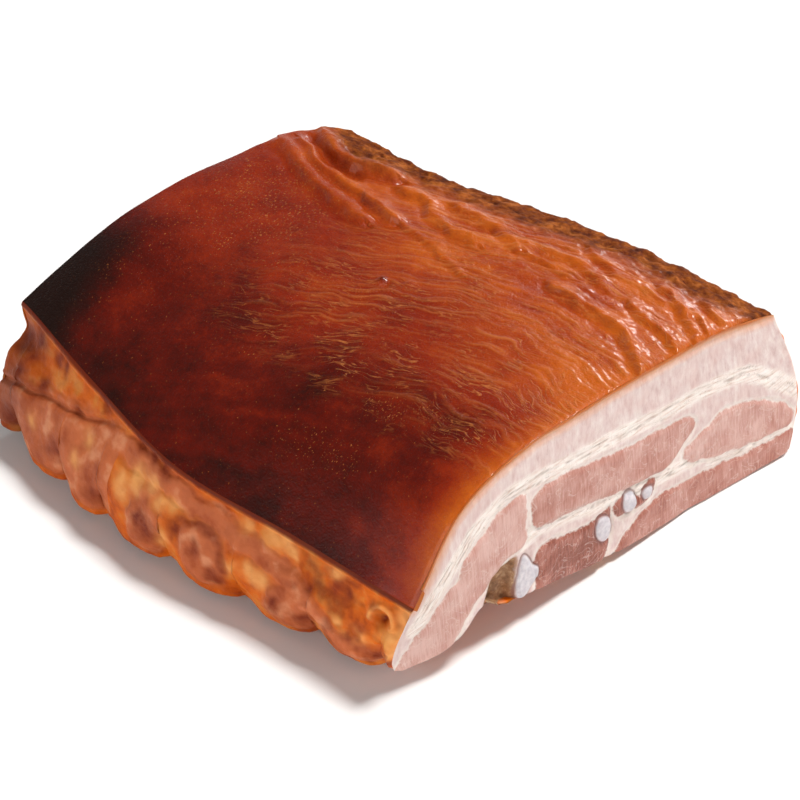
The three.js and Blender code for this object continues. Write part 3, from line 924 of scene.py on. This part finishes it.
def side_material(colours):
    """Smoked outer meat and fat: orange fat and salmon meat under a thin dry pellicle,
    scorched brown in spots where the smoke settled, satin rather than wet."""
    material, add, mesh = new_material("Smoked belly meat and fat", SIDE_SHADES + ("depth", "smoke_and_shading"))
    at = add("TexCoord")["Object"]
    ragged = add("TexNoise", {"Vector": at, "Scale": per_mm(3), "Detail": 5, "Roughness": 0.62})
    cloud = add("TexNoise", {"Vector": at, "Scale": per_mm(9), "Detail": 4, "Roughness": 0.55})
    fine = add("TexNoise", {"Vector": at, "Scale": per_mm(1.1), "Detail": 4, "Roughness": 0.65})
    rag = add("MapRange", {"Value": ragged["Fac"], "To Min": -1.8, "To Max": 1.8})[0]

    tones = [(0.28, "#983604"), (0.4, "#c45404"), (0.52, colours.smoked_fat), (0.68, "#eb9440")]
    fat = add("ValToRGB", {"Fac": cloud["Fac"]}, tones)[0]
    fibre = add("TexNoise", {"Vector": at, "Scale": per_mm(7), "Detail": 5, "Roughness": 0.45})
    tones = [(0.3, "#a84c24"), (0.42, "#bd6238"), (0.55, colours.smoked_meat), (0.7, "#df9065")]
    meat = add("ValToRGB", {"Fac": fibre["Fac"]}, tones)[0]
    edge = add("Math", {0: mesh["meat"], 1: rag})[0]
    in_meat = add("MapRange", {"Value": edge, "From Min": -1.8, "From Max": 1.8})[0]
    colour = add("Mix", {0: in_meat, 6: fat, 7: meat}, data_type="RGBA")[2]
    layers = []

    # Pale spots of lard
    lard = {"Value": ragged["Fac"], "From Min": 0.3, "From Max": 0.6, "To Min": 0.62, "To Max": 0.85}
    lard = add("MapRange", lard)[0]
    lard = add("Math", {0: mesh["pale"], 1: lard}, operation="MULTIPLY")[0]
    layers.append((lard, colours.smoked_lard))

    # Brown mottle, kept off the pale spots, and scorched spots
    mottle = add("MapRange", {"Value": cloud["Fac"], "From Min": 0.5, "From Max": 0.68, "To Max": 0.7})[0]
    clear = add("Math", {0: 1.0, 1: lard}, operation="SUBTRACT")[0]
    brown = add("Math", {0: mottle, 1: ragged["Fac"]}, operation="MULTIPLY")[0]
    brown = add("Math", {0: brown, 1: clear}, operation="MULTIPLY")[0]
    layers.append((brown, linear("#983a06")))
    burnt = {"Value": ragged["Fac"], "From Min": 0.35, "From Max": 0.6, "To Min": 0.72, "To Max": 1.0}
    burnt = add("MapRange", burnt)[0]
    burnt = add("Math", {0: mesh["scorched"], 1: burnt}, operation="MULTIPLY")[0]
    layers.append((burnt, colours.scorched))

    # Smoke darkens the sides near the far lower corner as it does the rind; this also carries the rind's
    # painted shade down the smoked side
    dark = add("MapRange", {"Value": mesh["smoke_and_shading"], "From Min": 0.6, "From Max": 1.2, "To Max": 0.6})[0]
    layers.append((dark, linear("#5a200f")))

    # Edge of the rind
    skin = {"Value": mesh["depth"], "From Min": 0.8, "From Max": 2.2, "To Min": 0.95, "To Max": 0}
    skin = add("MapRange", skin)[0]
    layers.append((skin, linear("#5e1d0c")))

    height = add("Math", {0: ragged["Fac"], 1: fine["Fac"]})[0]
    bump = add("Bump", {"Height": height, "Distance": 0.0004, "Strength": 0.5})
    rough = add("MapRange", {"Value": fine["Fac"], "To Min": 0.36, "To Max": 0.6})[0]
    surface = {
        "Roughness": rough,
        "Normal": bump[0],
        "IOR": 1.42,
        "Specular IOR Level": 0.16,
        "Subsurface Weight": 0.1,
        "Subsurface Scale": 0.003,
        "Subsurface Radius": (1.0, 0.4, 0.2),
    }
    close_material(add, colour, layers, surface)
    return material


# ---------------------------------------------------------- settings, tools


def length_property(name, description, value, least, most):
    """A length setting, given in mm."""
    span = {"default": value * MM, "min": least * MM, "max": most * MM}
    return bpy.props.FloatProperty(name=name, description=description, unit="LENGTH", precision=5, **span)


class BellySizes(bpy.types.PropertyGroup):
    """Sizes that a user may change"""

    spacing: length_property("Mesh spacing", "Distance between the mesh's vertices", 0.5, 0.3, 4)
    crease_height: length_property("Crease height", "Height of the rind's fine creases", 0.4, 0, 2)
    creases: bpy.props.IntProperty(
        name="Creases", description="How many fine creases the rind has", default=600, min=0, max=2000
    )


def colour_property(name, description, code):
    """A colour setting whose default is an sRGB hex code."""
    return bpy.props.FloatVectorProperty(
        name=name, description=description, subtype="COLOR", size=4, min=0, max=1, default=linear(code)
    )


class BellyColours(bpy.types.PropertyGroup):
    """Colours that a user may change"""

    # Rind amber, by the cut, also stands in for a painted glow of light through the thin rind
    rind_amber: colour_property("Rind amber", "Palest, least smoked rind, by the fresh cut", "#bf5a17")
    rind_maroon: colour_property("Rind maroon", "Well smoked rind over the middle", "#5b1207")
    rind_black: colour_property("Rind black", "Heaviest smoked rind, at the far lower corner", "#180b08")
    # Crease colour: a painted highlight on the creases' crests, and the colour of the painted glints
    crease: colour_property("Crease", "Dry crests of the rind's creases and its pores", "#cb7a3c")
    strip: colour_property("Strip", "Dried strip along the back of the rind", "#7f400f")
    fat: colour_property("Fat", "Fat on the fresh cut", "#e5d0c9")
    seam: colour_property("Seam", "Cream seam and its branches on the fresh cut", "#fff5ec")
    meat_pale: colour_property("Pale meat", "Palest cured meat on the fresh cut", "#dab0a5")
    meat_dark: colour_property("Dark meat", "Darkest cured meat on the fresh cut", "#87432f")
    cartilage: colour_property("Cartilage", "Cut rib cartilage and bone end", "#ded7d9")
    smoked_fat: colour_property("Smoked fat", "Fat on the smoked sides", "#db670a")
    smoked_meat: colour_property("Smoked meat", "Meat on the smoked sides", "#cb6c3f")
    smoked_lard: colour_property("Smoked lard", "Pale spots of fat on the smoked sides", "#f3ab62")
    scorched: colour_property("Scorched", "Brown spots on the smoked sides", "#752405")
    floor: colour_property("Floor", "Floor of the studio", "#f4f3f1")


class PORKBELLY_OT_build_slab(bpy.types.Operator):
    """Builds the slab: rind, fresh cut, smoked sides and underside in one closed mesh"""

    bl_idname = "pork_belly.build_slab"
    bl_label = "Build belly slab"

    def execute(self, context):
        sizes = context.scene.belly_sizes
        colours = context.scene.belly_colours
        spacing = sizes.spacing / MM * 1
        u, v, w, (rind, cut, sides), under = slab_lattice(spacing)
        p = slab_points(u, v, w)

        low, high = (np.array(corner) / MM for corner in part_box("pork_belly"))
        middle = (p.min(axis=0) + p.max(axis=0)) / 2
        shift = (low + high) / 2 - middle
        shift[2] = low[2] - p[:, 2].min()

        mesh = bpy.data.meshes.new("smoked_belly_slab")
        faces = rind.tolist() + cut.tolist() + sides.tolist() + under
        mesh.from_pydata(((p + shift) * MM).tolist(), [], faces)
        normals = np.empty(3 * len(p))
        mesh.vertices.foreach_get("normal", normals)
        height, shades = surface_fields(p, u, v, w, sizes)
        moved = p + shift + normals.reshape(-1, 3) * height[:, None]
        moved[:, 2] = np.maximum(moved[:, 2], low[2])
        mesh.vertices.foreach_set("co", (moved * MM).ravel())
        for name, values in shades.items():
            layer = mesh.attributes.new(name, "FLOAT", "POINT")
            layer.data.foreach_set("value", values.astype(np.float32))
        slots = np.repeat((0, 1, 2), (len(rind), len(cut), len(sides) + len(under)))
        mesh.polygons.foreach_set("material_index", slots.astype(np.int32))
        mesh.polygons.foreach_set("use_smooth", np.ones(len(faces), bool))
        mesh.update()
        if mesh.validate():
            raise RuntimeError("the slab's mesh had broken faces")
        for material in (rind_material(colours), cut_material(colours), side_material(colours)):
            mesh.materials.append(material)

        slab = bpy.data.objects.new("smoked_belly_slab", mesh)
        context.scene.collection.objects.link(slab)
        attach(slab, "root")
        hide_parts("pork_belly")
        return {"FINISHED"}


class PORKBELLY_OT_set_stage(bpy.types.Operator):
    """Lays the pale floor and sets the soft studio lights and the camera"""

    bl_idname = "pork_belly.set_stage"
    bl_label = "Set stage"

    def execute(self, context):
        scene = context.scene
        mesh = bpy.data.meshes.new("studio_floor")
        square = ((-1, -1), (1, -1), (1, 1), (-1, 1))
        corners = [(x * FLOOR_HALF, y * FLOOR_HALF, -FLOOR_DROP) for x, y in square]
        mesh.from_pydata(corners, [], [range(4)])
        floor = bpy.data.objects.new("studio_floor", mesh)
        scene.collection.objects.link(floor)
        material, add, _ = new_material("Matt painted floor")
        close_material(add, scene.belly_colours.floor, (), {"Roughness": 0.9})
        mesh.materials.append(material)

        world = bpy.data.worlds.new("studio")
        world.use_nodes = True
        tree = world.node_tree
        # Pale walls all round, dimmer overhead so that the dark rind keeps its depth
        up = node(tree, "SeparateXYZ", {"Vector": node(tree, "TexCoord")["Generated"]})
        glow = node(tree, "MapRange", {"Value": up["Z"], **WALL_GLOW})
        tree.links.new(glow[0], tree.nodes["Background"].inputs["Strength"])
        tree.nodes["Background"].inputs["Color"].default_value = (1, 1, 1, 1)
        scene.world = world
        scene.view_settings.view_transform = "Standard"

        for name, kind, place, size, power in LIGHTS:
            lamp = bpy.data.lights.new(name, kind)
            setattr(lamp, "angle" if kind == "SUN" else "size", size)
            lamp.energy = power
            light = bpy.data.objects.new(name, lamp)
            light.location = place
            light.rotation_euler = (Vector(LIT_POINT) - Vector(place)).to_track_quat("-Z", "Y").to_euler()
            scene.collection.objects.link(light)

        target = Vector(CAMERA_TARGET) * MM
        turn, rise = math.radians(CAMERA_TURN), math.radians(CAMERA_RISE)
        away = Vector((math.sin(turn) * math.cos(rise), -math.cos(turn) * math.cos(rise), math.sin(rise)))
        lens = bpy.data.cameras.new("camera")
        lens.lens = CAMERA_LENS
        lens.sensor_width = CAMERA_SENSOR
        camera = bpy.data.objects.new("camera", lens)
        camera.location = target + CAMERA_DISTANCE * away
        camera.rotation_euler = (-away).to_track_quat("-Z", "Y").to_euler()
        scene.collection.objects.link(camera)
        scene.camera = camera
        return {"FINISHED"}


class PORKBELLY_PT_panel(bpy.types.Panel):
    bl_label = "Pork belly"
    bl_idname = "PORKBELLY_PT_panel"
    bl_space_type = "VIEW_3D"
    bl_region_type = "UI"
    bl_category = "Pork belly"

    def draw(self, context):
        for group in (context.scene.belly_sizes, context.scene.belly_colours):
            for name in group.__annotations__:
                self.layout.prop(group, name)
        for operator in OPERATORS:
            self.layout.operator(operator.bl_idname)


OPERATORS = (PORKBELLY_OT_build_slab, PORKBELLY_OT_set_stage)
CLASSES = (BellySizes, BellyColours) + OPERATORS + (PORKBELLY_PT_panel,)


def register():
    for cls in CLASSES:
        bpy.utils.register_class(cls)
    bpy.types.Scene.belly_sizes = bpy.props.PointerProperty(type=BellySizes)
    bpy.types.Scene.belly_colours = bpy.props.PointerProperty(type=BellyColours)


def unregister():
    del bpy.types.Scene.belly_colours
    del bpy.types.Scene.belly_sizes
    for cls in reversed(CLASSES):
        bpy.utils.unregister_class(cls)


def main():
    register()
    bpy.ops.pork_belly.build_slab()
    bpy.ops.pork_belly.set_stage()


if __name__ == "__main__":
    main()
